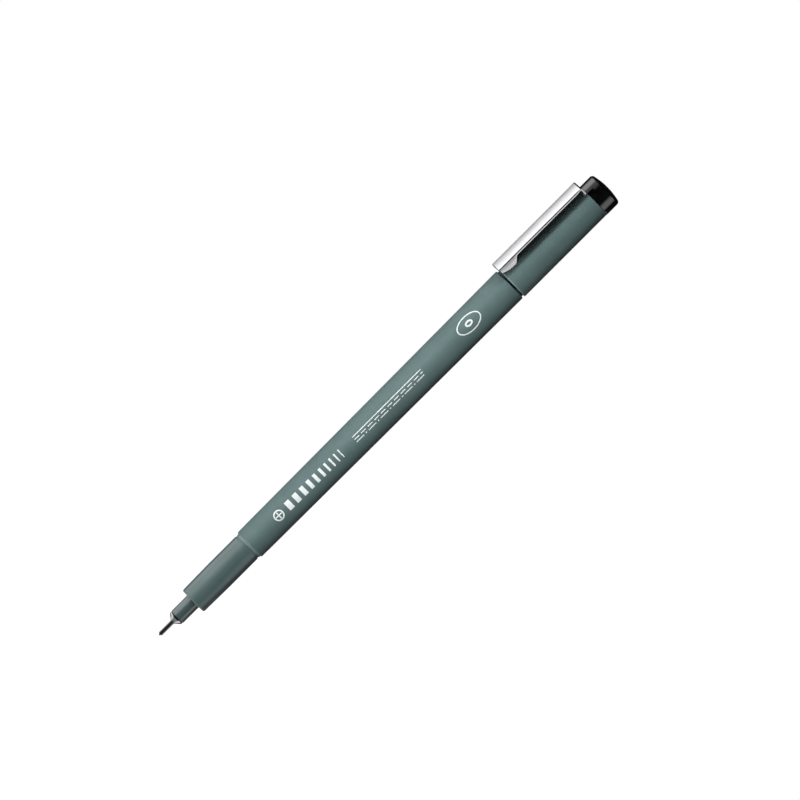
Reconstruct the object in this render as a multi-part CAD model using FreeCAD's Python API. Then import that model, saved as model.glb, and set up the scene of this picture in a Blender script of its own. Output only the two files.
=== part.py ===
"""Technical pen with its cap pushed onto the rear end of the barrel.

Millimetres. The pen's axis is +Z, with the nib at the bottom and the cap at the top, and the
pocket clip points to -Y. The origin lies on the axis, in the middle of the grip's cylindrical
land, which is where a holder or a compass collar grips the pen.
"""
import FreeCAD, Part
import math
import os

os.makedirs("parts", exist_ok=True)

# ---- lengths along the pen, from the writing end of the nib upwards -------------------------
NIB_BARE = 0.35
TUBE_LENGTH = 4.25
CONE_LENGTH = 1.25
BAND_LENGTH = 0.20
GROOVE_LENGTH = 0.25
NOSE_LENGTH = 5.60
GRIP_TAPER_LENGTH = 8.24
GRIP_LAND_LENGTH = 11.40
BARREL_LENGTH = 91.12
COLLAR_LENGTH = 0.50
CAP_SHELL_LENGTH = 28.77
END_PLUG_HEAD_LENGTH = 4.87

# ---- outside radii ---------------------------------------------------------------------------
NIB_RADIUS = 0.22
TUBE_RADIUS = 0.575
CONE_BASE_RADIUS = 2.03
GROOVE_RADIUS = 1.85
NOSE_RADIUS = 2.075
GRIP_FRONT_RADIUS = 3.74
GRIP_RADIUS = 3.87
BARREL_FRONT_RADIUS = 4.24
BARREL_REAR_RADIUS = 4.65
COLLAR_RADIUS = 4.20
CAP_RADIUS = 4.75
END_PLUG_RADIUS = 4.81

# ---- fits ------------------------------------------------------------------------------------
PRESS_GAP = 0.01
CAP_RUNNING_CLEARANCE = 0.03
CAP_SEAT_GAP = 0.02

# ---- hollow sections and hidden lengths ------------------------------------------------------
BARREL_BORE_RADIUS = 3.35
GRIP_BORE_RADIUS = 2.90
GRIP_FRONT_WALL = 1.50
GRIP_TENON_LENGTH = 6.00
NOSE_TAIL_LENGTH = 10.50
SLEEVE_TAIL_RADIUS = 1.20
SLEEVE_TAIL_LENGTH = 3.00
NIB_TOTAL_LENGTH = 12.00
WICK_RADIUS = 0.90
WICK_DEPTH_IN_RESERVOIR = 3.00
RESERVOIR_RADIUS = 3.05
RESERVOIR_LENGTH = 79.00
FILM_THICKNESS = 0.12
REAR_TENON_LENGTH = 5.50
REAR_TENON_WALL = 1.10
SPIGOT_LENGTH = 13.00
SPIGOT_WALL = 1.10
SPIGOT_END_WALL = 1.20

# ---- cap -------------------------------------------------------------------------------------
LINER_DEPTH = 19.70
LINER_LENGTH = 5.20
LINER_SEAL_RADIUS = 2.13
LINER_MOUTH_RADIUS = 2.75
LINER_LEAD_LENGTH = 1.00
LINER_SEAL_LENGTH = 2.80
NIB_CHAMBER_RADIUS = 2.40
END_PLUG_CROWN = 1.60
END_PLUG_CORNER_RADIUS = 0.90
END_PLUG_DOME_HEIGHT = 0.45

# ---- pocket clip -----------------------------------------------------------------------------
CLIP_WIDTH = 4.65
CLIP_SHEET = 0.40
CLIP_FACE_FROM_AXIS = 6.40
CLIP_OVERHANG = 0.20
CLIP_FLANGE_DEPTH = 0.66
CLIP_BEND_RADIUS = 0.50
CLIP_PAD_START_DEPTH = 1.20
CLIP_PAD_LOW_START = 3.10
CLIP_PAD_LOW_END = 4.50
CLIP_PAD_END = 6.10
CLIP_PAD_GAP = 0.05
CLIP_END_CORNER_RADIUS = 0.35
CLIP_LEG_INNER_END = 3.30
CLIP_LEG_TOP_GAP = 0.06
CLIP_SLOT_BELOW = 0.30
CLIP_SLOT_SIDE_GAP = 0.12
CLIP_EDGE_RADIUS = 0.15

# ---- stations on the axis, worked out from the lengths ---------------------------------------
CONE_START = NIB_BARE + TUBE_LENGTH
CONE_END = CONE_START + CONE_LENGTH
BAND_END = CONE_END + BAND_LENGTH
NOSE_START = BAND_END + GROOVE_LENGTH
GRIP_START = NOSE_START + NOSE_LENGTH
LAND_START = GRIP_START + GRIP_TAPER_LENGTH
BARREL_START = LAND_START + GRIP_LAND_LENGTH
BARREL_END = BARREL_START + BARREL_LENGTH
COLLAR_END = BARREL_END + COLLAR_LENGTH
SPIGOT_END = COLLAR_END + SPIGOT_LENGTH
CAP_MOUTH = COLLAR_END + CAP_SEAT_GAP
CAP_SEAM = CAP_MOUTH + CAP_SHELL_LENGTH
CAP_END = CAP_SEAM + END_PLUG_HEAD_LENGTH
ORIGIN_STATION = LAND_START + GRIP_LAND_LENGTH / 2

Z_AXIS = FreeCAD.Vector(0, 0, 1)
PEN_ORIGIN = FreeCAD.Vector(0, 0, 0)


def height(station):
    """Height in the pen's frame of a distance measured from the writing end."""
    return station - ORIGIN_STATION


def rounded_wire(points):
    """Closed wire in the XZ plane through (x, z) or (x, z, corner radius) points."""
    corners = [FreeCAD.Vector(point[0], 0, point[1]) for point in points]
    radii = [point[2] if len(point) > 2 else 0 for point in points]
    count = len(points)
    arrivals = []
    departures = []
    middles = []
    for index in range(count):
        corner = corners[index]
        to_last = (corners[index - 1] - corner).normalize()
        to_next = (corners[(index + 1) % count] - corner).normalize()
        half_angle = to_last.getAngle(to_next) / 2
        setback = radii[index] / math.tan(half_angle) if radii[index] else 0
        arrivals.append(corner + to_last * setback)
        departures.append(corner + to_next * setback)
        reach = radii[index] / math.sin(half_angle) - radii[index]
        inward = to_last + to_next
        middles.append(corner + inward.normalize() * reach if radii[index] else corner)
    edges = []
    for index in range(count):
        if radii[index]:
            edges.append(Part.Arc(arrivals[index], middles[index], departures[index]).toShape())
        following = (index + 1) % count
        if departures[index].distanceToPoint(arrivals[following]) > 1e-6:
            edges.append(Part.LineSegment(departures[index], arrivals[following]).toShape())
    return Part.Wire(edges)


def turned(points):
    """Solid of revolution about the pen's axis from (radius, station[, corner radius]) points."""
    outline = [(point[0], height(point[1])) + tuple(point[2:]) for point in points]
    return Part.Face(rounded_wire(outline)).revolve(PEN_ORIGIN, Z_AXIS, 360)


def bored(radius, start, end):
    """Cylinder on the axis between two stations, used to cut a hole."""
    return Part.makeCylinder(radius, end - start, FreeCAD.Vector(0, 0, height(start)))


def save(shape, node):
    """Write one sub-part, after checking that it is one valid closed solid."""
    solid = shape.removeSplitter()
    if len(solid.Solids) != 1 or not solid.isValid():
        raise ValueError(node + " is not one valid solid")
    solid.Solids[0].exportStep("parts/" + node + ".step")


def fibre_nib():
    point_radius = NIB_RADIUS * 0.6
    return turned([
        (0, 0),
        (NIB_RADIUS, 0, point_radius),
        (NIB_RADIUS, NIB_TOTAL_LENGTH),
        (0, NIB_TOTAL_LENGTH),
    ])


def nib_sleeve():
    """Turned steel: thin tube round the nib, cone, band and groove, with a tail behind."""
    bore_radius = NIB_RADIUS + PRESS_GAP
    tail_end = NOSE_START + SLEEVE_TAIL_LENGTH
    return turned([
        (bore_radius, NIB_BARE),
        (TUBE_RADIUS, NIB_BARE, 0.15),
        (TUBE_RADIUS, CONE_START, 0.3),
        (CONE_BASE_RADIUS, CONE_END),
        (CONE_BASE_RADIUS, BAND_END),
        (GROOVE_RADIUS, BAND_END),
        (GROOVE_RADIUS, NOSE_START),
        (SLEEVE_TAIL_RADIUS, NOSE_START),
        (SLEEVE_TAIL_RADIUS, tail_end),
        (bore_radius, tail_end),
    ])


def nose_piece():
    """Nib holder: the narrow nose, and behind it a wider tail that sits inside the grip."""
    tail_start = GRIP_START + GRIP_FRONT_WALL
    tail_end = tail_start + NOSE_TAIL_LENGTH
    tail_radius = GRIP_BORE_RADIUS - PRESS_GAP
    body = turned([
        (0, NOSE_START),
        (NOSE_RADIUS, NOSE_START, 0.08),
        (NOSE_RADIUS, tail_start + PRESS_GAP),
        (tail_radius, tail_start + PRESS_GAP),
        (tail_radius, tail_end, 0.3),
        (0, tail_end),
    ])
    sleeve_end = NOSE_START + SLEEVE_TAIL_LENGTH
    body = body.cut(bored(SLEEVE_TAIL_RADIUS + PRESS_GAP, NOSE_START - 1, sleeve_end + PRESS_GAP))
    body = body.cut(bored(NIB_RADIUS + PRESS_GAP, sleeve_end, NIB_TOTAL_LENGTH))
    return body.cut(bored(WICK_RADIUS + PRESS_GAP, NIB_TOTAL_LENGTH, tail_end + 1))


def grip_section():
    """Hollow front section: slim taper, cylindrical land, and a tenon inside the barrel."""
    tenon_radius = BARREL_BORE_RADIUS - PRESS_GAP
    tenon_end = BARREL_START + GRIP_TENON_LENGTH
    inner_face = GRIP_START + GRIP_FRONT_WALL
    hole_radius = NOSE_RADIUS + PRESS_GAP
    return turned([
        (hole_radius, GRIP_START),
        (GRIP_FRONT_RADIUS - 0.45, GRIP_START, 0.1),
        (GRIP_FRONT_RADIUS, GRIP_START + 0.55, 0.3),
        (GRIP_RADIUS, LAND_START),
        (GRIP_RADIUS, BARREL_START),
        (tenon_radius, BARREL_START),
        (tenon_radius, tenon_end),
        (GRIP_BORE_RADIUS, tenon_end),
        (GRIP_BORE_RADIUS, inner_face),
        (hole_radius, inner_face),
    ])


def feed_wick():
    wick_end = BARREL_START + GRIP_TENON_LENGTH + WICK_DEPTH_IN_RESERVOIR
    return turned([
        (0, NIB_TOTAL_LENGTH + PRESS_GAP),
        (WICK_RADIUS, NIB_TOTAL_LENGTH + PRESS_GAP),
        (WICK_RADIUS, wick_end, 0.2),
        (0, wick_end),
    ])


def ink_reservoir():
    start = BARREL_START + GRIP_TENON_LENGTH + PRESS_GAP
    end = start + RESERVOIR_LENGTH
    hole_end = start + WICK_DEPTH_IN_RESERVOIR
    hole_radius = WICK_RADIUS + PRESS_GAP
    return turned([
        (hole_radius, start),
        (RESERVOIR_RADIUS, start),
        (RESERVOIR_RADIUS, end),
        (0, end),
        (0, hole_end),
        (hole_radius, hole_end),
    ])


def reservoir_film():
    start = BARREL_START + GRIP_TENON_LENGTH + PRESS_GAP
    inner_radius = RESERVOIR_RADIUS + PRESS_GAP
    outer_radius = inner_radius + FILM_THICKNESS
    return turned([
        (inner_radius, start),
        (outer_radius, start),
        (outer_radius, start + RESERVOIR_LENGTH),
        (inner_radius, start + RESERVOIR_LENGTH),
    ])


def barrel():
    """Slim tapered tube, widest at the rear, with softened end edges."""
    return turned([
        (BARREL_BORE_RADIUS, BARREL_START + PRESS_GAP),
        (BARREL_FRONT_RADIUS, BARREL_START + PRESS_GAP, 0.14),
        (BARREL_REAR_RADIUS, BARREL_END, 0.3),
        (BARREL_BORE_RADIUS, BARREL_END),
    ])


def rear_plug():
    """Closes the barrel's rear end and carries the spigot that the cap is pushed onto."""
    tenon_radius = BARREL_BORE_RADIUS - PRESS_GAP
    tenon_start = BARREL_END - REAR_TENON_LENGTH
    return turned([
        (tenon_radius - REAR_TENON_WALL, tenon_start),
        (tenon_radius, tenon_start, 0.2),
        (tenon_radius, BARREL_END + PRESS_GAP),
        (COLLAR_RADIUS, BARREL_END + PRESS_GAP),
        (COLLAR_RADIUS, COLLAR_END),
        (GRIP_RADIUS, COLLAR_END),
        (GRIP_RADIUS, SPIGOT_END, 0.5),
        (0, SPIGOT_END),
        (0, SPIGOT_END - SPIGOT_END_WALL),
        (GRIP_RADIUS - SPIGOT_WALL, SPIGOT_END - SPIGOT_END_WALL),
        (GRIP_RADIUS - SPIGOT_WALL, COLLAR_END),
        (tenon_radius - REAR_TENON_WALL, COLLAR_END - 1.5),
    ])


def clip_slot():
    """Space that the clip's root leg passes through, at the seam under the end plug's head."""
    leg_space = CLIP_LEG_TOP_GAP + CLIP_SHEET + CLIP_SLOT_BELOW
    half_width = CLIP_WIDTH / 2 + CLIP_SLOT_SIDE_GAP
    inner_end = CLIP_LEG_INNER_END - 0.25
    corner = FreeCAD.Vector(-half_width, -CAP_RADIUS - 1, height(CAP_SEAM) - leg_space)
    return Part.makeBox(2 * half_width, CAP_RADIUS + 1 - inner_end, leg_space, corner)


def cap_shell():
    """Plain cylindrical tube, open at the mouth, slotted at the seam for the clip's leg."""
    bore_radius = GRIP_RADIUS + CAP_RUNNING_CLEARANCE
    tube = turned([
        (bore_radius + 0.15, CAP_MOUTH),
        (CAP_RADIUS, CAP_MOUTH, 0.2),
        (CAP_RADIUS, CAP_SEAM),
        (bore_radius, CAP_SEAM),
        (bore_radius, CAP_MOUTH + 0.3),
    ])
    return tube.cut(clip_slot())


def inner_cap():
    """Soft liner that seals round the nose when the cap is on the front of the pen."""
    outer_radius = GRIP_RADIUS + CAP_RUNNING_CLEARANCE - PRESS_GAP
    start = CAP_MOUTH + LINER_DEPTH
    lead_end = start + LINER_LEAD_LENGTH
    seal_end = lead_end + LINER_SEAL_LENGTH
    return turned([
        (LINER_MOUTH_RADIUS, start),
        (outer_radius, start, 0.2),
        (outer_radius, start + LINER_LENGTH),
        (NIB_CHAMBER_RADIUS, start + LINER_LENGTH),
        (NIB_CHAMBER_RADIUS, seal_end + 0.4),
        (LINER_SEAL_RADIUS, seal_end),
        (LINER_SEAL_RADIUS, lead_end),
    ])


def cap_end_plug():
    """Black end piece: a domed head over a tenon, hollow to leave room for the nib."""
    tenon_radius = GRIP_RADIUS + CAP_RUNNING_CLEARANCE - PRESS_GAP
    tenon_start = CAP_MOUTH + LINER_DEPTH + LINER_LENGTH + PRESS_GAP
    head_start = CAP_SEAM + PRESS_GAP
    shoulder = CAP_END - END_PLUG_DOME_HEIGHT
    head = turned([
        (0, head_start),
        (END_PLUG_RADIUS, head_start, 0.12),
        (END_PLUG_RADIUS, shoulder, END_PLUG_CORNER_RADIUS),
        (0, shoulder),
    ])
    dome_rim = END_PLUG_RADIUS - END_PLUG_CORNER_RADIUS
    dome_radius = (dome_rim ** 2 + END_PLUG_DOME_HEIGHT ** 2) / (2 * END_PLUG_DOME_HEIGHT)
    dome_centre = FreeCAD.Vector(0, 0, height(CAP_END) - dome_radius)
    dome = Part.makeSphere(dome_radius, dome_centre)
    dome = dome.common(bored(dome_rim + 1, shoulder - 0.2, CAP_END + 1))
    tenon = bored(tenon_radius, tenon_start, head_start + 0.5)
    plug = head.fuse([dome.common(bored(dome_rim, shoulder - 0.2, CAP_END + 1)), tenon])
    plug = plug.cut(bored(NIB_CHAMBER_RADIUS, tenon_start - 1, CAP_END - END_PLUG_CROWN))
    return plug.cut(clip_slot())


def on_outer_face(edge, outer_face):
    """True for the two long straight edges of the clip's outer face."""
    at_face = all(abs(vertex.X - outer_face) < 1e-3 for vertex in edge.Vertexes)
    return at_face and edge.Length > CAP_SHELL_LENGTH / 2


def clip_strip(outer_face, free_end, leg_top):
    """The sheet of the clip seen from the side: long face, bend at the root, and leg."""
    outline = [
        (outer_face, free_end),
        (outer_face, leg_top, CLIP_BEND_RADIUS),
        (-CLIP_LEG_INNER_END, leg_top),
        (-CLIP_LEG_INNER_END, leg_top - CLIP_SHEET),
        (outer_face + CLIP_SHEET, leg_top - CLIP_SHEET, CLIP_BEND_RADIUS - CLIP_SHEET),
        (outer_face + CLIP_SHEET, free_end),
    ]
    sheet = Part.Face(rounded_wire(outline)).extrude(FreeCAD.Vector(0, CLIP_WIDTH, 0))
    long_edges = [edge for edge in sheet.Edges if on_outer_face(edge, outer_face)]
    return sheet.makeFillet(CLIP_EDGE_RADIUS, long_edges)


def clip_flange(outer_face, free_end, leg_top, offset):
    """One folded edge of the clip, deepened near the free end into the pad that bears on the cap."""
    flange_bottom = outer_face + CLIP_FLANGE_DEPTH
    sheet_middle = outer_face + CLIP_SHEET / 2
    pad_bottom = -math.sqrt(CAP_RADIUS ** 2 - (CLIP_WIDTH / 2) ** 2)
    root = leg_top - CLIP_BEND_RADIUS
    outline = rounded_wire([
        (sheet_middle, root),
        (flange_bottom, root),
        (flange_bottom, free_end + CLIP_PAD_END, 0.5),
        (pad_bottom, free_end + CLIP_PAD_LOW_END, 0.9),
        (pad_bottom, free_end + CLIP_PAD_LOW_START, 2.0),
        (outer_face + CLIP_PAD_START_DEPTH, free_end),
        (sheet_middle, free_end),
    ])
    flange = Part.Face(outline).extrude(FreeCAD.Vector(0, CLIP_SHEET, 0))
    flange.translate(FreeCAD.Vector(0, offset, 0))
    return flange


def pocket_clip():
    """Spring steel channel. It is drawn with its depth along X, then turned to point to -Y."""
    outer_face = -CLIP_FACE_FROM_AXIS
    free_end = height(CAP_MOUTH) - CLIP_OVERHANG
    leg_top = height(CAP_SEAM) - CLIP_LEG_TOP_GAP
    clip = clip_strip(outer_face, free_end, leg_top)
    for offset in (0, CLIP_WIDTH - CLIP_SHEET):
        clip = clip.fuse(clip_flange(outer_face, free_end, leg_top, offset))
    blank_outline = rounded_wire([
        (0, free_end, CLIP_END_CORNER_RADIUS),
        (CLIP_WIDTH, free_end, CLIP_END_CORNER_RADIUS),
        (CLIP_WIDTH, leg_top + 1),
        (0, leg_top + 1),
    ])
    blank = Part.Face(blank_outline).extrude(FreeCAD.Vector(0, 10, 0))
    blank.rotate(PEN_ORIGIN, Z_AXIS, 90)
    clip = clip.common(blank)
    clip.translate(FreeCAD.Vector(0, -CLIP_WIDTH / 2, 0))
    clip.rotate(PEN_ORIGIN, Z_AXIS, 90)
    pad_clearance = bored(CAP_RADIUS + CLIP_PAD_GAP, CAP_MOUTH - 1, CAP_MOUTH + CLIP_PAD_END + 1)
    return clip.cut(pad_clearance)


SUB_PARTS = {
    "fibre_nib": fibre_nib,
    "nib_sleeve": nib_sleeve,
    "nose_piece": nose_piece,
    "grip_section": grip_section,
    "feed_wick": feed_wick,
    "ink_reservoir": ink_reservoir,
    "reservoir_film": reservoir_film,
    "barrel": barrel,
    "rear_plug": rear_plug,
    "cap_shell": cap_shell,
    "inner_cap": inner_cap,
    "cap_end_plug": cap_end_plug,
    "pocket_clip": pocket_clip,
}

for node_name, make in SUB_PARTS.items():
    save(make(), node_name)
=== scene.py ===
"""Technical pen with its cap on the rear end: meshes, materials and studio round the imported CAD.

Metres, in the CAD's frame: the pen's axis is +Z, the nib points down, the clip points to -Y and
the origin is in the middle of the grip's cylindrical land.
"""
import math

import bmesh
import bpy
from mathutils import Matrix, Vector


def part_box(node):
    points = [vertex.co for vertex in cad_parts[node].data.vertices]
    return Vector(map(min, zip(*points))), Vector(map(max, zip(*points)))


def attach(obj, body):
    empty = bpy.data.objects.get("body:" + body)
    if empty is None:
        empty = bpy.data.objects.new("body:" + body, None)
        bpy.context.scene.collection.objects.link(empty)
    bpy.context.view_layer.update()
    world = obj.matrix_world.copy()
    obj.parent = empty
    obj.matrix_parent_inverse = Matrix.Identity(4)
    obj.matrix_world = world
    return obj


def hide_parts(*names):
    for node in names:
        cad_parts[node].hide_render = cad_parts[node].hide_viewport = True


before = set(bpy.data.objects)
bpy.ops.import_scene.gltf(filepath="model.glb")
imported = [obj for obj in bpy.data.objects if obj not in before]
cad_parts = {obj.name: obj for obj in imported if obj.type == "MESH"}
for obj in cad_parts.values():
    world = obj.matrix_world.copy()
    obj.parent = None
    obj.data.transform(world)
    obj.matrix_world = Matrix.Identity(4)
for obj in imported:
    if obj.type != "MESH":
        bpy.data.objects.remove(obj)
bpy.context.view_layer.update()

MM = 0.001
MICRON = 0.000001

# ---- places read from the frame --------------------------------------------------------------
NIB_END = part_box("fibre_nib")[0].z
NIB_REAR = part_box("fibre_nib")[1].z
TUBE_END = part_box("nib_sleeve")[0].z
SLEEVE_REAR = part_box("nib_sleeve")[1].z
NOSE_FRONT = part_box("nose_piece")[0].z
NOSE_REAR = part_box("nose_piece")[1].z
GRIP_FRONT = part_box("grip_section")[0].z
GRIP_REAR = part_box("grip_section")[1].z
BARREL_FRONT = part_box("barrel")[0].z
BARREL_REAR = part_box("barrel")[1].z
PLUG_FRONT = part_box("rear_plug")[0].z
SPIGOT_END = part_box("rear_plug")[1].z
CAP_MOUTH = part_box("cap_shell")[0].z
CAP_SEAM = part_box("cap_shell")[1].z
LINER_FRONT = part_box("inner_cap")[0].z
LINER_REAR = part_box("inner_cap")[1].z
END_PLUG_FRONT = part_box("cap_end_plug")[0].z
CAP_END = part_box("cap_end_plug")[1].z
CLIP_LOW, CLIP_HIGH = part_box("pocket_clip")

# ---- radii, as in the CAD --------------------------------------------------------------------
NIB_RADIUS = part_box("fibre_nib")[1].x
TUBE_RADIUS = 0.575 * MM
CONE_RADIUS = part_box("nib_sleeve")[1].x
NOSE_RADIUS = 2.075 * MM
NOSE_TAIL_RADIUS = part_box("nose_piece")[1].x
GRIP_FRONT_RADIUS = 3.74 * MM
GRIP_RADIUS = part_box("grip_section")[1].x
TENON_RADIUS = 3.34 * MM
BARREL_FRONT_RADIUS = 4.24 * MM
BARREL_RADIUS = 4.65 * MM
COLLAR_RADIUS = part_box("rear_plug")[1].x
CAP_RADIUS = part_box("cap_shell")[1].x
CAP_BORE = 3.90 * MM
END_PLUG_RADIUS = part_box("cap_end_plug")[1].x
CONE_LENGTH = 1.25 * MM
BAND_LENGTH = 0.20 * MM
GROOVE_LENGTH = 0.25 * MM
GROOVE_RADIUS = 1.85 * MM
BAND_END = NOSE_FRONT - GROOVE_LENGTH
CONE_END = BAND_END - BAND_LENGTH
GRIP_TAPER_LENGTH = 8.24 * MM

SEGMENTS = 192


# ---- mesh helpers ----------------------------------------------------------------------------
def rounded_outline(points, steps=6):
    """Points (radius, z[, corner radius]) with each rounded corner turned into a short arc."""
    places = [Vector((p[0], p[1])) for p in points]
    result = []
    count = len(points)
    for index, point in enumerate(points):
        corner = places[index]
        size = point[2] if len(point) > 2 else 0
        if not size:
            result.append(corner)
            continue
        to_last = (places[index - 1] - corner).normalized()
        to_next = (places[(index + 1) % count] - corner).normalized()
        half = to_last.angle(to_next) / 2
        setback = size / math.tan(half)
        centre = corner + (to_last + to_next).normalized() * (size / math.sin(half))
        start = corner + to_last * setback - centre
        end = corner + to_next * setback - centre
        sweep = start.angle_signed(end)
        for step in range(steps + 1):
            angle = -sweep * step / steps
            turned_point = Matrix.Rotation(angle, 2) @ start
            result.append(centre + turned_point)
    return result


def finish_mesh(mesh, bm, smooth_angle=math.radians(32)):
    """Cleans up normals, writes the bmesh and sets smooth shading with sharp creases kept."""
    bmesh.ops.recalc_face_normals(bm, faces=bm.faces)
    for face in bm.faces:
        face.smooth = True
    for edge in bm.edges:
        if len(edge.link_faces) == 2 and edge.calc_face_angle(0) > smooth_angle:
            edge.smooth = False
    bm.to_mesh(mesh)
    bm.free()


def add_object(name, mesh, material, body):
    piece = bpy.data.objects.new(name, mesh)
    bpy.context.scene.collection.objects.link(piece)
    mesh.materials.append(material)
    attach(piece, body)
    return piece


def lathe_bmesh(outline, segments=SEGMENTS):
    """Closed solid of revolution. Points on the axis become single vertices."""
    bm = bmesh.new()
    rings = []
    for point in outline:
        if point.x < 1e-9:
            rings.append([bm.verts.new((0, 0, point.y))])
            continue
        ring = []
        for index in range(segments):
            angle = 2 * math.pi * index / segments
            x, y = point.x * math.cos(angle), point.x * math.sin(angle)
            ring.append(bm.verts.new((x, y, point.y)))
        rings.append(ring)
    for ring_a, ring_b in zip(rings, rings[1:] + rings[:1]):
        join_rings(bm, ring_a, ring_b)
    return bm


def join_rings(bm, ring_a, ring_b):
    if len(ring_a) == 1 and len(ring_b) == 1:
        return
    count = max(len(ring_a), len(ring_b))
    for index in range(count):
        following = (index + 1) % count
        if len(ring_a) == 1:
            bm.faces.new((ring_a[0], ring_b[following], ring_b[index]))
        elif len(ring_b) == 1:
            bm.faces.new((ring_a[index], ring_a[following], ring_b[0]))
        else:
            bm.faces.new((ring_a[index], ring_a[following], ring_b[following], ring_b[index]))


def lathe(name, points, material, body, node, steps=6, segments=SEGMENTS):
    """A turned piece that stands for one CAD node."""
    mesh = bpy.data.meshes.new(name)
    finish_mesh(mesh, lathe_bmesh(rounded_outline(points, steps), segments))
    piece = add_object(name, mesh, material, body)
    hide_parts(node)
    return piece


def cut_box(piece, low, high):
    """Cuts a box-shaped opening out of a piece with an exact boolean, then applies it."""
    cutter_mesh = bpy.data.meshes.new("cutter")
    bm = bmesh.new()
    bmesh.ops.create_cube(bm, size=1)
    size = high - low
    bmesh.ops.scale(bm, vec=size, verts=bm.verts)
    bmesh.ops.translate(bm, vec=(low + high) / 2, verts=bm.verts)
    bm.to_mesh(cutter_mesh)
    bm.free()
    cutter = bpy.data.objects.new("cutter", cutter_mesh)
    bpy.context.scene.collection.objects.link(cutter)
    boolean = piece.modifiers.new("opening", "BOOLEAN")
    boolean.operation = "DIFFERENCE"
    boolean.solver = "EXACT"
    boolean.object = cutter
    bpy.context.view_layer.update()
    evaluated = piece.evaluated_get(bpy.context.evaluated_depsgraph_get())
    cut_mesh = bpy.data.meshes.new_from_object(evaluated)
    piece.modifiers.remove(boolean)
    piece.data = cut_mesh
    bpy.data.objects.remove(cutter)
    bm = bmesh.new()
    bm.from_mesh(cut_mesh)
    finish_mesh(cut_mesh, bm)


def smoothstep(low, high, value):
    share = min(max((value - low) / (high - low), 0), 1)
    return share * share * (3 - 2 * share)


# ---- material helpers ------------------------------------------------------------------------
class Shader:
    """A material's node tree with short calls for the nodes used here."""

    def __init__(self, name):
        self.material = bpy.data.materials.new(name)
        self.material.use_nodes = True
        self.tree = self.material.node_tree
        self.bsdf = self.tree.nodes["Principled BSDF"]
        self.place = self.tree.nodes.new("ShaderNodeTexCoord").outputs["Object"]

    def link(self, output, target):
        self.tree.links.new(output, target)

    def stretched(self, scale):
        """Object coordinates scaled on each axis, so that a noise runs along or round the pen."""
        mapping = self.tree.nodes.new("ShaderNodeMapping")
        mapping.inputs["Scale"].default_value = scale
        self.link(self.place, mapping.inputs["Vector"])
        return mapping.outputs["Vector"]

    def noise(self, scale, detail=3.0, roughness=0.55, place=None):
        node = self.tree.nodes.new("ShaderNodeTexNoise")
        node.inputs["Scale"].default_value = scale
        node.inputs["Detail"].default_value = detail
        node.inputs["Roughness"].default_value = roughness
        self.link(place or self.place, node.inputs["Vector"])
        return node.outputs["Fac"]

    def span(self, value, from_low, from_high, to_low, to_high):
        node = self.tree.nodes.new("ShaderNodeMapRange")
        node.interpolation_type = "SMOOTHSTEP"
        node.inputs["From Min"].default_value = from_low
        node.inputs["From Max"].default_value = from_high
        node.inputs["To Min"].default_value = to_low
        node.inputs["To Max"].default_value = to_high
        self.link(value, node.inputs["Value"])
        return node.outputs["Result"]

    def station(self):
        """Height on the pen."""
        parts = self.tree.nodes.new("ShaderNodeSeparateXYZ")
        self.link(self.place, parts.inputs[0])
        return parts.outputs["Z"]

    def height(self, low, high):
        """0 below one height on the pen, 1 above another."""
        return self.span(self.station(), low, high, 0, 1)

    def math(self, operation, *values):
        node = self.tree.nodes.new("ShaderNodeMath")
        node.operation = operation
        for socket, value in zip(node.inputs, values):
            if isinstance(value, float):
                socket.default_value = value
            else:
                self.link(value, socket)
        return node.outputs[0]

    def rim(self, start, width):
        """1 on a narrow band of the pen's length, 0 elsewhere."""
        return self.math("COMPARE", self.station(), start + width / 2, width / 2)

    def mix(self, share, first, second):
        """Blend of two colours, each a colour tuple or a socket."""
        node = self.tree.nodes.new("ShaderNodeMix")
        node.data_type = "RGBA"
        self.link(share, node.inputs["Factor"])
        for socket, value in ((node.inputs[6], first), (node.inputs[7], second)):
            if isinstance(value, tuple):
                socket.default_value = (*value, 1)
            else:
                self.link(value, socket)
        return node.outputs[2]

    def bump(self, heights):
        """Chain of bumps from (height socket, strength, depth in metres)."""
        normal = None
        for height, strength, depth in heights:
            node = self.tree.nodes.new("ShaderNodeBump")
            node.inputs["Strength"].default_value = strength
            node.inputs["Distance"].default_value = depth
            self.link(height, node.inputs["Height"])
            if normal:
                self.link(normal, node.inputs["Normal"])
            normal = node.outputs["Normal"]
        self.link(normal, self.bsdf.inputs["Normal"])

    def colour(self, output):
        self.link(output, self.bsdf.inputs["Base Color"])

    def roughness(self, value, from_low, from_high, low, high):
        output = self.span(value, from_low, from_high, low, high)
        self.link(output, self.bsdf.inputs["Roughness"])

    def edge_wear_and_highlight(self, start=0.515, full=0.54):
        """1 on convex edges, 0 elsewhere: edges worn by handling, lightened further as a painted
        highlight.
        """
        geometry = self.tree.nodes.new("ShaderNodeNewGeometry")
        return self.span(geometry.outputs["Pointiness"], start, full, 0, 1)


# Width of the painted highlight bands at the rims.
PAINTED_RIM_HIGHLIGHT_WIDTH = 0.28 * MM


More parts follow.
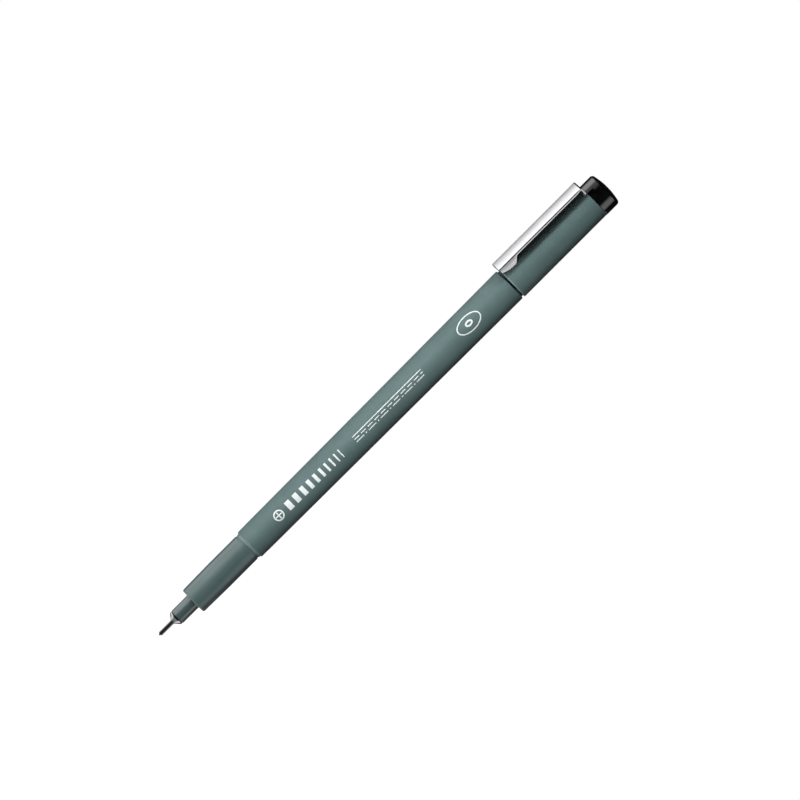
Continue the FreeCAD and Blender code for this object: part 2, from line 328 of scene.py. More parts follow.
def moulded_plastic(name, tone, deep_tone, rough_low, rough_high, ior, highlight_rims=(), edges=True):
    """Injection-moulded grey plastic: faint tone drift, flow streaks, fine sparked texture, and a
    painted highlight band at each given rim height. With edges, every convex edge is lightened
    too, partly wear and partly painted highlight."""
    shader = Shader(name)
    drift = shader.span(shader.noise(160, 4), 0.35, 0.65, 0, 1)
    colour = shader.mix(drift, tone, deep_tone)
    # Painted highlight: lighter bands at the rim heights, and convex edges lightened partly as
    # wear and partly as painted highlight.
    marks = [shader.rim(start, PAINTED_RIM_HIGHLIGHT_WIDTH) for start in highlight_rims]
    if edges:
        marks.append(shader.edge_wear_and_highlight())
    wear_and_highlight = marks[0]
    for mark in marks[1:]:
        wear_and_highlight = shader.math("MAXIMUM", wear_and_highlight, mark)
    wear_and_highlight_tone = tuple(min(1, part * 1.6 + 0.02) for part in tone)
    colour = shader.mix(wear_and_highlight, colour, wear_and_highlight_tone)
    shader.colour(colour)
    streaks = shader.noise(2600, 3, place=shader.stretched((1, 1, 0.03)))
    shader.roughness(streaks, 0.3, 0.7, rough_low, rough_high)
    grain = shader.noise(9000, 2)
    shader.bump([(grain, 0.10, 12 * MICRON), (streaks, 0.05, 8 * MICRON)])
    shader.bsdf.inputs["IOR"].default_value = ior
    return shader.material


def gloss_black(name, rough_low, rough_high, ior):
    """Black plastic with hairline handling scratches."""
    shader = Shader(name)
    mottle = shader.span(shader.noise(420, 3), 0.3, 0.7, 0, 1)
    shader.colour(shader.mix(mottle, (0.001, 0.0012, 0.0013), (0.003, 0.0034, 0.0036)))
    hairlines = shader.noise(3000, 4, 0.7, shader.stretched((1, 1, 0.08)))
    shader.roughness(hairlines, 0.35, 0.75, rough_low, rough_high)
    shader.bump([(hairlines, 0.04, 5 * MICRON)])
    shader.bsdf.inputs["IOR"].default_value = ior
    return shader.material


def brushed_nickel(name):
    """Spring-steel clip with a fine satin brush along its length."""
    shader = Shader(name)
    brush = shader.noise(5200, 4, 0.65, shader.stretched((1, 1, 0.02)))
    cloud = shader.span(shader.noise(300, 3), 0.3, 0.7, 0, 1)
    shader.colour(shader.mix(cloud, (0.62, 0.62, 0.63), (0.56, 0.56, 0.57)))
    shader.bsdf.inputs["Metallic"].default_value = 1
    shader.roughness(brush, 0.3, 0.7, 0.20, 0.32)
    shader.bump([(brush, 0.10, 4 * MICRON)])
    return shader.material


def turned_steel(name):
    """Turned steel with faint rings round it, with painted shade: the drawn tube is painted darker
    and the rear groove nearly black.
    """
    shader = Shader(name)
    rings = shader.noise(9000, 2, 0.6, shader.stretched((0.02, 0.02, 1)))
    tint = shader.span(shader.noise(900, 2), 0.3, 0.7, 0, 1)
    bright = shader.mix(tint, (0.72, 0.72, 0.73), (0.64, 0.65, 0.66))
    # Painted shade: the drawn tube gets a dark tone in place of the steel's own.
    cone_front = CONE_END - CONE_LENGTH
    past_shaded_tube = shader.height(cone_front, cone_front + 0.6 * MM)
    colour = shader.mix(past_shaded_tube, (0.16, 0.16, 0.17), bright)
    # Painted shade: the rear groove is painted nearly black where shade falls.
    groove_painted_shade = shader.height(BAND_END - 0.03 * MM, BAND_END + 0.03 * MM)
    shader.colour(shader.mix(groove_painted_shade, colour, (0.03, 0.03, 0.032)))
    shader.bsdf.inputs["Metallic"].default_value = 1
    shader.roughness(rings, 0.3, 0.7, 0.12, 0.24)
    shader.bump([(rings, 0.08, 2 * MICRON)])
    return shader.material


def pad_print(name):
    """White printing ink, slightly mottled where the film is thin."""
    shader = Shader(name)
    cover = shader.span(shader.noise(5200, 3), 0.35, 0.6, 0, 1)
    shader.colour(shader.mix(cover, (0.60, 0.66, 0.65), (0.80, 0.83, 0.82)))
    shader.roughness(shader.noise(2500, 2), 0.3, 0.7, 0.45, 0.62)
    shader.bump([(shader.noise(12000, 2), 0.08, 4 * MICRON)])
    return shader.material


def fibre(name):
    """Ink-soaked bonded fibre."""
    shader = Shader(name)
    strands = shader.noise(14000, 3, 0.6, shader.stretched((1, 1, 0.05)))
    shader.colour(shader.mix(strands, (0.006, 0.006, 0.008), (0.03, 0.03, 0.034)))
    shader.roughness(strands, 0.3, 0.7, 0.5, 0.8)
    shader.bump([(strands, 0.2, 5 * MICRON)])
    return shader.material


def clear_film(name):
    """Thin clear wrap round the ink reservoir, faintly clouded."""
    shader = Shader(name)
    cloud = shader.span(shader.noise(600, 3), 0.3, 0.7, 0, 1)
    shader.colour(shader.mix(cloud, (0.78, 0.80, 0.80), (0.86, 0.88, 0.88)))
    shader.roughness(shader.noise(2000, 2), 0.3, 0.7, 0.10, 0.22)
    shader.bump([(shader.noise(3000, 2), 0.05, 4 * MICRON)])
    shader.bsdf.inputs["Transmission Weight"].default_value = 0.6
    return shader.material


def natural_liner(name):
    """Uncoloured soft plastic of the inner cap."""
    shader = Shader(name)
    haze = shader.span(shader.noise(500, 3), 0.3, 0.7, 0, 1)
    shader.colour(shader.mix(haze, (0.62, 0.63, 0.61), (0.72, 0.73, 0.70)))
    shader.roughness(shader.noise(1500, 2), 0.3, 0.7, 0.35, 0.5)
    shader.bump([(shader.noise(4000, 2), 0.05, 6 * MICRON)])
    return shader.material


GREY = (0.095, 0.148, 0.147)
GREY_DEEP = (0.085, 0.133, 0.132)
# Painted shade: the grip's and the nose's greys are darker copies of the barrel's grey, though all
# three parts are one colour.
SHADED_FRONT_GREY = (0.076, 0.119, 0.119)
SHADED_FRONT_GREY_DEEP = (0.068, 0.106, 0.106)
SHADED_NOSE_GREY = (0.056, 0.088, 0.089)
SHADED_NOSE_GREY_DEEP = (0.050, 0.078, 0.079)
# Painted highlight bands at the barrel's front rim, the cap's mouth and the grip's front rim.
barrel_grey = moulded_plastic("barrel_grey", GREY, GREY_DEEP, 0.50, 0.60, 1.38,
                              highlight_rims=(BARREL_FRONT, CAP_MOUTH), edges=False)
front_grey_shaded = moulded_plastic("front_grey_shaded", SHADED_FRONT_GREY, SHADED_FRONT_GREY_DEEP, 0.30, 0.38, 1.61,
                             highlight_rims=(GRIP_FRONT,))
nose_grey_shaded = moulded_plastic("nose_grey_shaded", SHADED_NOSE_GREY, SHADED_NOSE_GREY_DEEP, 0.20, 0.28, 1.75)
plug_black = gloss_black("plug_black", 0.10, 0.20, 1.75)
spigot_black = gloss_black("spigot_black", 0.38, 0.50, 1.40)
clip_nickel = brushed_nickel("clip_nickel")
sleeve_steel = turned_steel("sleeve_steel")
print_white = pad_print("print_white")
nib_fibre = fibre("nib_fibre")
liner_natural = natural_liner("liner_natural")
ink_fibre = fibre("ink_fibre")
film_clear = clear_film("film_clear")

# The parts hidden inside are shown as they are in the CAD, with their own materials.
HIDDEN_FINISHES = {
    "feed_wick": ink_fibre,
    "ink_reservoir": ink_fibre,
    "reservoir_film": film_clear,
}
for node, finish in HIDDEN_FINISHES.items():
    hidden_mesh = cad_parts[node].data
    hidden_mesh.materials.clear()
    hidden_mesh.materials.append(finish)


# ---- front end -------------------------------------------------------------------------------
BORE_GAP = 0.01 * MM
SLEEVE_TAIL_RADIUS = 1.2 * MM
NOSE_BORE = SLEEVE_TAIL_RADIUS + BORE_GAP
GRIP_FRONT_WALL = 1.5 * MM
NOSE_TAIL_FRONT = GRIP_FRONT + GRIP_FRONT_WALL + BORE_GAP
JOINT_GROOVE_DEPTH = 0.14 * MM
JOINT_GROOVE_FRONT = BARREL_FRONT - 0.95 * MM
JOINT_GROOVE_REAR = BARREL_FRONT - 0.40 * MM
JOINT_GROOVE_SLOPE = 0.10 * MM

lathe("nib_point", [
    (0, NIB_END),
    (NIB_RADIUS, NIB_END, NIB_RADIUS * 0.6),
    (NIB_RADIUS, NIB_REAR),
    (0, NIB_REAR),
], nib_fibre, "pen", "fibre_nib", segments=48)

nib_sleeve = lathe("nib_sleeve_steel", [
    (NIB_RADIUS + BORE_GAP, TUBE_END),
    (TUBE_RADIUS, TUBE_END, 0.14 * MM),
    (TUBE_RADIUS, CONE_END - CONE_LENGTH, 0.3 * MM),
    (CONE_RADIUS, CONE_END, 0.06 * MM),
    (CONE_RADIUS, BAND_END, 0.04 * MM),
    (GROOVE_RADIUS, BAND_END),
    (GROOVE_RADIUS, NOSE_FRONT),
    (SLEEVE_TAIL_RADIUS, NOSE_FRONT),
    (SLEEVE_TAIL_RADIUS, SLEEVE_REAR),
    (NIB_RADIUS + BORE_GAP, SLEEVE_REAR),
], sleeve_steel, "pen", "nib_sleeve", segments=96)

lathe("nose", [
    (NOSE_BORE, NOSE_FRONT),
    (NOSE_RADIUS, NOSE_FRONT, 0.1 * MM),
    (NOSE_RADIUS, NOSE_TAIL_FRONT),
    (NOSE_TAIL_RADIUS, NOSE_TAIL_FRONT),
    (NOSE_TAIL_RADIUS, NOSE_REAR, 0.3 * MM),
    (NOSE_BORE, NOSE_REAR),
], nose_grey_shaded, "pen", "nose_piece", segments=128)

lathe("grip", [
    (NOSE_RADIUS + BORE_GAP, GRIP_FRONT),
    (GRIP_FRONT_RADIUS - 0.26 * MM, GRIP_FRONT, 0.08 * MM),
    (GRIP_FRONT_RADIUS, GRIP_FRONT + 0.30 * MM, 0.16 * MM),
    (GRIP_RADIUS, GRIP_FRONT + GRIP_TAPER_LENGTH, 12 * MM),
    (GRIP_RADIUS, JOINT_GROOVE_FRONT, 0.05 * MM),
    (GRIP_RADIUS - JOINT_GROOVE_DEPTH, JOINT_GROOVE_FRONT + JOINT_GROOVE_SLOPE),
    (GRIP_RADIUS - JOINT_GROOVE_DEPTH, JOINT_GROOVE_REAR - JOINT_GROOVE_SLOPE),
    (GRIP_RADIUS, JOINT_GROOVE_REAR, 0.05 * MM),
    (GRIP_RADIUS, BARREL_FRONT - BORE_GAP),
    (TENON_RADIUS, BARREL_FRONT - BORE_GAP),
    (TENON_RADIUS, GRIP_REAR),
    (NOSE_TAIL_RADIUS + BORE_GAP, GRIP_REAR),
    (NOSE_TAIL_RADIUS + BORE_GAP, GRIP_FRONT + GRIP_FRONT_WALL),
    (NOSE_RADIUS + BORE_GAP, GRIP_FRONT + GRIP_FRONT_WALL),
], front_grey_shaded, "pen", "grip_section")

# ---- barrel and rear plug --------------------------------------------------------------------
barrel_tube = lathe("barrel_tube", [
    (TENON_RADIUS + BORE_GAP, BARREL_FRONT),
    (BARREL_FRONT_RADIUS - 0.22 * MM, BARREL_FRONT, 0.04 * MM),
    (BARREL_FRONT_RADIUS, BARREL_FRONT + 0.25 * MM, 0.10 * MM),
    (BARREL_RADIUS, BARREL_REAR, 0.3 * MM),
    (TENON_RADIUS + BORE_GAP, BARREL_REAR),
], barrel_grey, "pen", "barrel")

COLLAR_TOP = CAP_MOUTH - 0.02 * MM
PLUG_WALL = 1.1 * MM
SPIGOT_FLOOR = SPIGOT_END - 1.2 * MM
lathe("rear_spigot", [
    (TENON_RADIUS - PLUG_WALL, PLUG_FRONT),
    (TENON_RADIUS, PLUG_FRONT, 0.2 * MM),
    (TENON_RADIUS, BARREL_REAR + BORE_GAP),
    (COLLAR_RADIUS, BARREL_REAR + BORE_GAP, 0.06 * MM),
    (COLLAR_RADIUS, COLLAR_TOP, 0.06 * MM),
    (GRIP_RADIUS, COLLAR_TOP, 0.05 * MM),
    (GRIP_RADIUS, SPIGOT_END, 0.5 * MM),
    (0, SPIGOT_END),
    (0, SPIGOT_FLOOR),
    (GRIP_RADIUS - PLUG_WALL, SPIGOT_FLOOR),
    (GRIP_RADIUS - PLUG_WALL, COLLAR_TOP),
    (TENON_RADIUS - PLUG_WALL, COLLAR_TOP - 1.5 * MM),
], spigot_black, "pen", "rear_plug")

# ---- cap -------------------------------------------------------------------------------------
CLIP_WIDTH = CLIP_HIGH.x - CLIP_LOW.x
LEG_TOP_GAP = 0.06 * MM
SHEET = 0.40 * MM
SLOT_LOW = Vector((CLIP_LOW.x - 0.12 * MM, -8 * MM, CAP_SEAM - 0.76 * MM))
SLOT_HIGH = Vector((CLIP_HIGH.x + 0.12 * MM, -3.05 * MM, CAP_SEAM + 0.005 * MM))

cap_tube = lathe("cap_tube", [
    (CAP_BORE + 0.15 * MM, CAP_MOUTH, 0.05 * MM),
    (CAP_RADIUS, CAP_MOUTH, 0.18 * MM),
    (CAP_RADIUS, CAP_SEAM, 0.04 * MM),
    (CAP_BORE, CAP_SEAM),
    (CAP_BORE, CAP_MOUTH + 0.3 * MM),
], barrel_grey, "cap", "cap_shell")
cut_box(cap_tube, SLOT_LOW, SLOT_HIGH)

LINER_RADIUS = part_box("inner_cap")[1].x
CHAMBER_RADIUS = 2.4 * MM
SEAL_RADIUS = 2.13 * MM
SEAL_FRONT = LINER_FRONT + 1.0 * MM
SEAL_REAR = LINER_FRONT + 3.8 * MM
lathe("sealing_liner", [
    (2.75 * MM, LINER_FRONT, 0.08 * MM),
    (LINER_RADIUS, LINER_FRONT, 0.2 * MM),
    (LINER_RADIUS, LINER_REAR),
    (CHAMBER_RADIUS, LINER_REAR),
    (CHAMBER_RADIUS, SEAL_REAR + 0.4 * MM),
    (SEAL_RADIUS, SEAL_REAR, 0.2 * MM),
    (SEAL_RADIUS, SEAL_FRONT, 0.3 * MM),
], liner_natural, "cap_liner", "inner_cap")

HEAD_FRONT = CAP_SEAM + BORE_GAP
DOME_HEIGHT = 0.45 * MM
CORNER = 0.9 * MM
SHOULDER = CAP_END - DOME_HEIGHT
CROWN_INSIDE = CAP_END - 1.6 * MM


def dome_outline():
    """From the head's side, round the corner and up the shallow dome to the axis."""
    rim = END_PLUG_RADIUS - CORNER
    radius = (rim ** 2 + DOME_HEIGHT ** 2) / (2 * DOME_HEIGHT)
    tilt = math.asin(rim / radius)
    centre = Vector((rim, SHOULDER - CORNER))
    steps = 14
    corner = []
    for step in range(steps + 1):
        angle = (math.pi / 2 - tilt) * step / steps
        corner.append((centre.x + CORNER * math.cos(angle), centre.y + CORNER * math.sin(angle)))
    dome = []
    for step in range(1, steps + 1):
        share = 1 - step / steps
        end = corner[-1]
        reach = end[0] * share
        height = end[1] + (CAP_END - end[1]) * (1 - share ** 2)
        dome.append((reach, height))
    return corner + dome


end_plug = lathe("end_plug", [
    (LINER_RADIUS, END_PLUG_FRONT, 0.1 * MM),
    (LINER_RADIUS, HEAD_FRONT),
    (END_PLUG_RADIUS, HEAD_FRONT, 0.12 * MM),
    *dome_outline(),
    (0, CROWN_INSIDE),
    (CHAMBER_RADIUS, CROWN_INSIDE),
    (CHAMBER_RADIUS, END_PLUG_FRONT),
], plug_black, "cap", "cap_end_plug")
cut_box(end_plug, SLOT_LOW, SLOT_HIGH)


# ---- pocket clip -----------------------------------------------------------------------------
def flange_depth(along):
    """Depth of the clip's folded edges, from its outer face, at a distance from the free end."""
    plain, start, pad = 0.64 * MM, 1.20 * MM, 2.22 * MM
    if along < 4.0 * MM:
        return start + (pad - start) * math.sin(math.pi / 2 * min(along / (3.4 * MM), 1))
    return plain + (pad - plain) * smoothstep(6.3 * MM, 4.2 * MM, along)


def clip_section(width, depth, fold, sheet):
    """Closed outline of the bent sheet across the clip: x across, y outwards from the axis."""
    half = width / 2
    room = min(0.07 * MM, (depth - sheet) * 0.45)
    inner_fold = max(fold - sheet, room)
    return rounded_outline([
        (-half, -depth, room),
        (-half, 0, fold),
        (half, 0, fold),
        (half, -depth, room),
        (half - SHEET, -depth, room),
        (half - SHEET, -sheet, inner_fold),
        (-half + SHEET, -sheet, inner_fold),
        (-half + SHEET, -depth, room),
    ], steps=5)


def clip_stations():
    """(point on the outer face, outward direction, section) from the free end to the leg's end."""
    face_y = CLIP_LOW.y
    bend = 0.50 * MM
    edge_fold, leg_fold = 0.22 * MM, 0.02 * MM
    leg_depth = SHEET + 0.03 * MM
    leg_top = CAP_SEAM - LEG_TOP_GAP
    bend_start = leg_top - bend
    low = CLIP_LOW.z
    corner = 0.35 * MM
    lip = 0.22 * MM
    last_pad = 7.2 * MM
    offsets = [corner * (1 - math.cos(math.pi / 2 * k / 8)) for k in range(9)]
    offsets += [corner + (last_pad - corner) * k / 34 for k in range(1, 35)]
    offsets += [last_pad + (bend_start - low - last_pad) * k / 14 for k in range(1, 15)]
    outward = Vector((0, -1, 0))
    stations = []
    for offset in offsets:
        inset = corner - math.sqrt(corner ** 2 - max(corner - offset, 0) ** 2)
        drop = lip - math.sqrt(lip ** 2 - max(lip - offset, 0) ** 2)
        taper = smoothstep(bend_start - low - 1.2 * MM, bend_start - low, offset)
        depth = flange_depth(offset)
        depth += (leg_depth - depth) * taper
        fold = edge_fold + (leg_fold - edge_fold) * taper
        section = clip_section(CLIP_WIDTH - 2 * inset, depth - drop, fold, SHEET - drop)
        stations.append((Vector((0, face_y + drop, low + offset)), outward, section))
    plain = clip_section(CLIP_WIDTH, leg_depth, leg_fold, SHEET)
    centre = Vector((0, face_y + bend, bend_start))
    for k in range(1, 13):
        angle = math.pi / 2 * k / 12
        turned = Vector((0, -math.cos(angle), math.sin(angle)))
        stations.append((centre + turned * bend, turned, plain))
    leg_end = Vector((0, -3.3 * MM, leg_top))
    stations.append((leg_end, Vector((0, 0, 1)), plain))
    return stations


def build_clip():
    bm = bmesh.new()
    loops = []
    for place, outward, section in clip_stations():
        loops.append([bm.verts.new(place + Vector((p.x, 0, 0)) + outward * p.y) for p in section])
    for loop_a, loop_b in zip(loops, loops[1:]):
        count = len(loop_a)
        for index in range(count):
            following = (index + 1) % count
            bm.faces.new((loop_a[index], loop_a[following], loop_b[following], loop_b[index]))
    bm.faces.new(loops[0])
    bm.faces.new(loops[-1])
    mesh = bpy.data.meshes.new("spring_clip")
    finish_mesh(mesh, bm)
    piece = add_object("spring_clip", mesh, clip_nickel, "clip")
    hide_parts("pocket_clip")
    return piece


spring_clip = build_clip()


# ---- printed marks ---------------------------------------------------------------------------
PRINT_AZIMUTH = math.atan2(-0.5, math.cos(math.radians(30)))
PRINT_PROUD = 8 * MICRON
PRINT_SUNK = 12 * MICRON


def barrel_surface(across, along, lift):
    """Point over the barrel: across is an arc towards the clip's side, along is a height."""
    share = (along - BARREL_FRONT) / (BARREL_REAR - BARREL_FRONT)
    radius = BARREL_FRONT_RADIUS + (BARREL_RADIUS - BARREL_FRONT_RADIUS) * share
    angle = PRINT_AZIMUTH - across / radius
    return Vector(((radius + lift) * math.cos(angle), (radius + lift) * math.sin(angle), along))


class Print:
    """Collects thin closed ribbons of ink that follow the barrel's surface."""

    def __init__(self, name):
        self.name = name
        self.bm = bmesh.new()

    def ribbon(self, path, width, closed=False):
        """A stroke along (across, along) points, with square ends."""
        count = len(path)
        sides = []
        for index in range(count):
            before = path[index - 1] if index or closed else path[0]
            after = path[(index + 1) % count] if index + 1 < count or closed else path[-1]
            direction = (Vector(after) - Vector(before)).normalized()
            normal = Vector((-direction.y, direction.x)) * (width / 2)
            sides.append((Vector(path[index]) + normal, Vector(path[index]) - normal))
        rows = []
        for left, right in sides:
            row = []
            for lift in (PRINT_PROUD, -PRINT_SUNK):
                row += [self.bm.verts.new(barrel_surface(*side, lift)) for side in (left, right)]
            rows.append(row)
        pairs = list(zip(rows, rows[1:]))
        if closed:
            pairs.append((rows[-1], rows[0]))
        for a, b in pairs:
            for first, second in ((0, 1), (1, 3), (3, 2), (2, 0)):
                self.bm.faces.new((a[first], a[second], b[second], b[first]))
        if not closed:
            for row in (rows[0], rows[-1]):
                self.bm.faces.new((row[0], row[1], row[3], row[2]))

    def line(self, start, end, width):
        steps = max(1, math.ceil((Vector(end) - Vector(start)).length / (0.25 * MM)))
        path = []
        for step in range(steps + 1):
            path.append(tuple(Vector(start).lerp(Vector(end), step / steps)))
        self.ribbon(path, width)

    def oval(self, centre, half_across, half_along, width, steps=64):
        path = []
        for step in range(steps):
            angle = 2 * math.pi * step / steps
            path.append((centre[0] + half_across * math.cos(angle),
                         centre[1] + half_along * math.sin(angle)))
        self.ribbon(path, width, closed=True)

    def build(self):
        mesh = bpy.data.meshes.new(self.name)
        finish_mesh(mesh, self.bm)
        piece = add_object(self.name, mesh, print_white, "pen")


def width_scale():
    """Row of sample bars from the boldest to the finest line, after a ring-and-cross target."""
    marks = Print("line_width_bars")
    start = NIB_END + 42.0 * MM
    half = 1.25 * MM
    arm = 1.0 * MM
    gap = 1.15 * MM
    marks.oval((0, start), half, half, 0.34 * MM)
    marks.line((-arm, start), (arm, start), 0.30 * MM)
    marks.line((0, start - arm), (0, start + arm), 0.30 * MM)
    place = start + 2.9 * MM
    for width in (1.5, 1.35, 1.2, 1.05, 0.9, 0.75, 0.6, 0.5, 0.4, 0.3):
        place += width * MM / 2
        marks.line((-half, place), (half, place), width * MM)
        place += width * MM / 2 + gap
    marks.build()


def line_styles():
    """Three fine lines in drafting styles: solid, dashed and chain."""
    marks = Print("line_style_samples")
    low, high = NIB_END + 68.4 * MM, NIB_END + 92.2 * MM
    pitch = 0.8 * MM
    width = 0.22 * MM
    dashes, chain = (1.6, 0.7), (2.6, 0.6, 0.4, 0.6)
    marks.line((pitch, low), (pitch, high), width)
    for across, pattern in ((0, dashes), (-pitch, chain)):
        place = low
        index = 0
        while place < high:
            length = pattern[index % len(pattern)] * MM
            if index % 2 == 0:
                marks.line((across, place), (across, min(place + length, high)), width)
            place += length
            index += 1
    marks.build()


def width_label():
    """Oval ring with a plain drop of ink in it."""
    marks = Print("ink_drop_label")
    centre = (0.4 * MM, NIB_END + 108.7 * MM)
    marks.oval(centre, 2.0 * MM, 3.6 * MM, 0.30 * MM, steps=96)
    marks.oval(centre, 0.55 * MM, 0.9 * MM, 0.45 * MM, steps=48)
    marks.build()


width_scale()
line_styles()
width_label()


# ---- studio ----------------------------------------------------------------------------------
CAMERA_AZIMUTH = math.radians(60)
BACK = Vector((math.sin(CAMERA_AZIMUTH), -math.cos(CAMERA_AZIMUTH), 0))
SIDE = Vector((math.cos(CAMERA_AZIMUTH), math.sin(CAMERA_AZIMUTH), 0))
UP = Vector((0, 0, 1))
FRAME_WIDTH = 197.9 * MM
LENS_MM = 360
SENSOR_MM = 36
AIM = Vector((0, 0, NIB_END + 83.28 * MM)) + SIDE * (1.00 * MM)

# Round patches of sky: azimuth and elevation in degrees, cosine at the edge, brightness.
GLOSS_PATCHES = (
    (-43, 0, 0.87, 2.05),  # wall to the left
    (-14, 0, 0.78, 0.62),  # its inner part
    (134, 0, 0.88, 1.25),  # wall to the right
    (188, -22, 0.92, 1.2),  # wall behind
    (-62, -50, 0.93, 1.2),  # table on the left
    (182, -50, 0.93, 1.0),  # table on the right
    (60, -88, 0.80, 0.2),  # table below
)
GLOSS_BASE = 0.01
FILL_PATCHES = (
    (60, 0, 0.50, 0.05),  # from the camera's side
    (240, 0, 0.40, 0.75),  # from behind, wide
    (240, 0, 0.90, 2.5),  # from behind, narrow
    (60, -85, 0.76, 1.6),  # from below
)
FILL_BASE = 0.02
FRONT_AZIMUTH = 40
FLAG_DISTANCE = 9.0 * MM
FLAG_NEAR = -0.05 * MM
FLAG_FAR = 4.4 * MM
FLAG_LOW = NIB_END + 122.0 * MM
FLAG_HIGH = NIB_END + 154.0 * MM
SIDE_CARD_NEAR = 2.42 * MM
SIDE_CARD_FAR = 2.86 * MM
SIDE_CARD_Y = -5.65 * MM
FLOOR_DROP = 65 * MM


def direction(azimuth, elevation=0):
    """Unit vector from the pen towards a viewer at these angles, in degrees."""
    a, e = math.radians(azimuth), math.radians(elevation)
    return Vector((math.sin(a) * math.cos(e), -math.cos(a) * math.cos(e), math.sin(e)))


def make_camera():
    """Long lens square on to the pen, rolled so that the cap end points up to the right."""
    data = bpy.data.cameras.new("camera")
    data.lens = LENS_MM
    data.sensor_width = SENSOR_MM
    data.clip_start = 0.05
    data.clip_end = 20
    camera = bpy.data.objects.new("camera", data)
    bpy.context.scene.collection.objects.link(camera)
    distance = FRAME_WIDTH / 2 / (SENSOR_MM / 2 / LENS_MM)
    across = (UP + SIDE).normalized()
    upward = (UP - SIDE).normalized()
    turn = Matrix((across, upward, BACK)).transposed().to_4x4()
    camera.matrix_world = Matrix.Translation(AIM + BACK * distance) @ turn
    bpy.context.scene.camera = camera


def softbox(name, azimuth, elevation, distance, width, height, power, height_up=0.0):
    """Rectangular light facing the pen; seen as light only, never as a shape."""
    data = bpy.data.lights.new(name, "AREA")
    data.shape = "RECTANGLE"
    data.size = width
    data.size_y = height
    data.energy = power
    light = bpy.data.objects.new(name, data)
    bpy.context.scene.collection.objects.link(light)
    toward = direction(azimuth, elevation)
    light.location = AIM + UP * height_up + toward * distance
    light.rotation_euler = toward.to_track_quat("Z", "Y").to_euler()
    light.visible_camera = False
    light.visible_glossy = False
    return light


def keep_off(light, pieces):
    """Stop a light from reaching some pieces, as a flag would in a studio."""
    spared = bpy.data.collections.new(light.name + "_spares")
    for piece in pieces:
        spared.objects.link(piece)
    light.light_linking.receiver_collection = spared
    for entry in spared.collection_objects:
        entry.light_linking.link_state = "EXCLUDE"


def black_card(name, corners):
    """Small card that shades the pen. The camera never sees it."""
    mesh = bpy.data.meshes.new(name)
    bm = bmesh.new()
    bm.faces.new([bm.verts.new(corner) for corner in corners])
    bm.to_mesh(mesh)
    bm.free()
    paint = bpy.data.materials.new(name + "_black")
    paint.use_nodes = True
    paint.node_tree.nodes["Principled BSDF"].inputs["Base Color"].default_value = (0, 0, 0, 1)
    mesh.materials.append(paint)
    card = bpy.data.objects.new(name, mesh)
    bpy.context.scene.collection.objects.link(card)
    card.visible_camera = False
    return card


def upright(near, far, low, high):
    """Corners of an upright rectangle between two places beside the pen."""
    return [Vector((place.x, place.y, z)) for place, z in (
        (near, low), (far, low), (far, high), (near, high))]


def make_flag():
    """Keeps the front light off the cap beside the clip."""
    base = direction(FRONT_AZIMUTH) * FLAG_DISTANCE
    across = direction(FRONT_AZIMUTH - 90)
    near, far = base + across * FLAG_NEAR, base + across * FLAG_FAR
    black_card("flag", upright(near, far, FLAG_LOW, FLAG_HIGH)).visible_diffuse = False


def make_side_card():
    """Widens the shade of the clip on the cap."""
    near = Vector((SIDE_CARD_NEAR, SIDE_CARD_Y, 0))
    far = Vector((SIDE_CARD_FAR, SIDE_CARD_Y, 0))
    card = black_card("side_card", upright(near, far, CLIP_LOW.z + 7.0 * MM, CAP_SEAM))
    card.visible_glossy = False


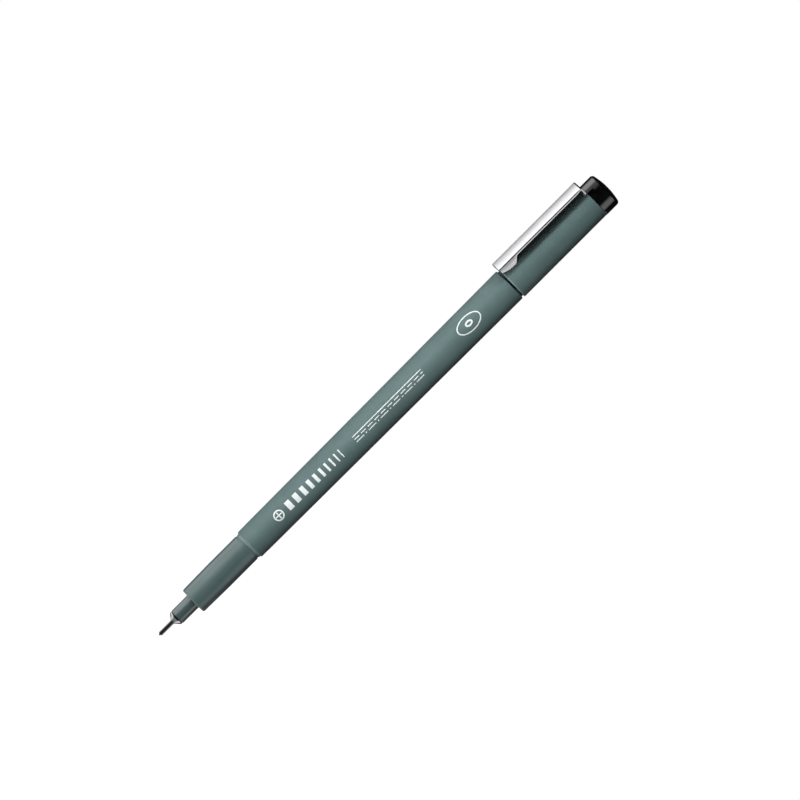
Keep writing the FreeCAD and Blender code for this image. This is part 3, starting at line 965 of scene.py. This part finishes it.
def make_world():
    """White backdrop for the camera, soft fill patches for matt surfaces and, for gloss, bright
    patches in a nearly black room."""
    world = bpy.data.worlds.new("studio")
    bpy.context.scene.world = world
    world.use_nodes = True
    tree = world.node_tree
    tree.nodes.clear()

    def math_node(operation, first, second):
        node = tree.nodes.new("ShaderNodeMath")
        node.operation = operation
        for socket, value in zip(node.inputs, (first, second)):
            if isinstance(value, (int, float)):
                socket.default_value = value
            else:
                tree.links.new(value, socket)
        return node.outputs[0]

    def ramp(value, low, high, to_low, to_high):
        node = tree.nodes.new("ShaderNodeMapRange")
        node.interpolation_type = "SMOOTHSTEP"
        for socket, number in zip(node.inputs[1:5], (low, high, to_low, to_high)):
            socket.default_value = number
        tree.links.new(value, node.inputs[0])
        return node.outputs[0]

    ray = tree.nodes.new("ShaderNodeTexCoord").outputs["Generated"]

    def patch(azimuth, elevation, edge, level):
        """Round bright patch of sky about one direction, fading to nothing at its edge."""
        dot = tree.nodes.new("ShaderNodeVectorMath")
        dot.operation = "DOT_PRODUCT"
        dot.inputs[1].default_value = direction(azimuth, elevation)
        tree.links.new(ray, dot.inputs[0])
        return ramp(dot.outputs["Value"], edge, 1.0, 0.0, level)

    def total(levels):
        result = levels[0]
        for level in levels[1:]:
            result = math_node("ADD", result, level)
        return result

    gloss_level = total([patch(*values) for values in GLOSS_PATCHES] + [GLOSS_BASE])
    soft_level = total([patch(*values) for values in FILL_PATCHES] + [FILL_BASE])

    path = tree.nodes.new("ShaderNodeLightPath")
    is_glossy = path.outputs["Is Glossy Ray"]
    is_camera = path.outputs["Is Camera Ray"]
    unlit = math_node("MULTIPLY", math_node("SUBTRACT", 1, is_glossy), soft_level)
    studio = math_node("ADD", math_node("MULTIPLY", gloss_level, is_glossy), unlit)
    hidden_studio = math_node("MULTIPLY", studio, math_node("SUBTRACT", 1, is_camera))
    level = math_node("ADD", hidden_studio, is_camera)
    background = tree.nodes.new("ShaderNodeBackground")
    background.inputs["Color"].default_value = (1, 1, 1, 1)
    tree.links.new(level, background.inputs["Strength"])
    output = tree.nodes.new("ShaderNodeOutputWorld")
    tree.links.new(background.outputs[0], output.inputs["Surface"])


def make_floor():
    """Plain white table under the pen, which is held a little above it."""
    mesh = bpy.data.meshes.new("floor")
    bm = bmesh.new()
    bmesh.ops.create_circle(bm, cap_ends=True, radius=4, segments=96)
    bmesh.ops.translate(bm, vec=(0, 0, NIB_END - FLOOR_DROP), verts=bm.verts)
    bm.to_mesh(mesh)
    bm.free()
    material = bpy.data.materials.new("floor_white")
    material.use_nodes = True
    bsdf = material.node_tree.nodes["Principled BSDF"]
    bsdf.inputs["Base Color"].default_value = (0.9, 0.9, 0.9, 1)
    bsdf.inputs["Emission Color"].default_value = (1, 1, 1, 1)
    bsdf.inputs["Emission Strength"].default_value = 1.0
    bsdf.inputs["Roughness"].default_value = 0.9
    mesh.materials.append(material)
    floor = bpy.data.objects.new("floor", mesh)
    bpy.context.scene.collection.objects.link(floor)
    floor.visible_diffuse = False
    floor.visible_glossy = False
    floor.visible_shadow = False


make_camera()
make_world()
make_floor()
make_flag()
make_side_card()
key = softbox("key", 6, 0, 0.5, 0.36, 0.80, 1.50)
key.visible_glossy = True
keep_off(key, [nib_sleeve, end_plug, spring_clip])
softbox("front_light", FRONT_AZIMUTH, 0, 0.13, 0.02, 0.22, 0.225, height_up=8 * MM)
sheen = softbox("sheen", 24, 0, 0.5, 0.12, 0.80, 1.2)
sheen.visible_diffuse = False
sheen.visible_glossy = True
meshes = [item for item in bpy.data.objects if item.type == "MESH"]
keep_off(sheen, [item for item in meshes if item not in (barrel_tube, cap_tube)])
bpy.context.scene.view_settings.view_transform = "Standard"
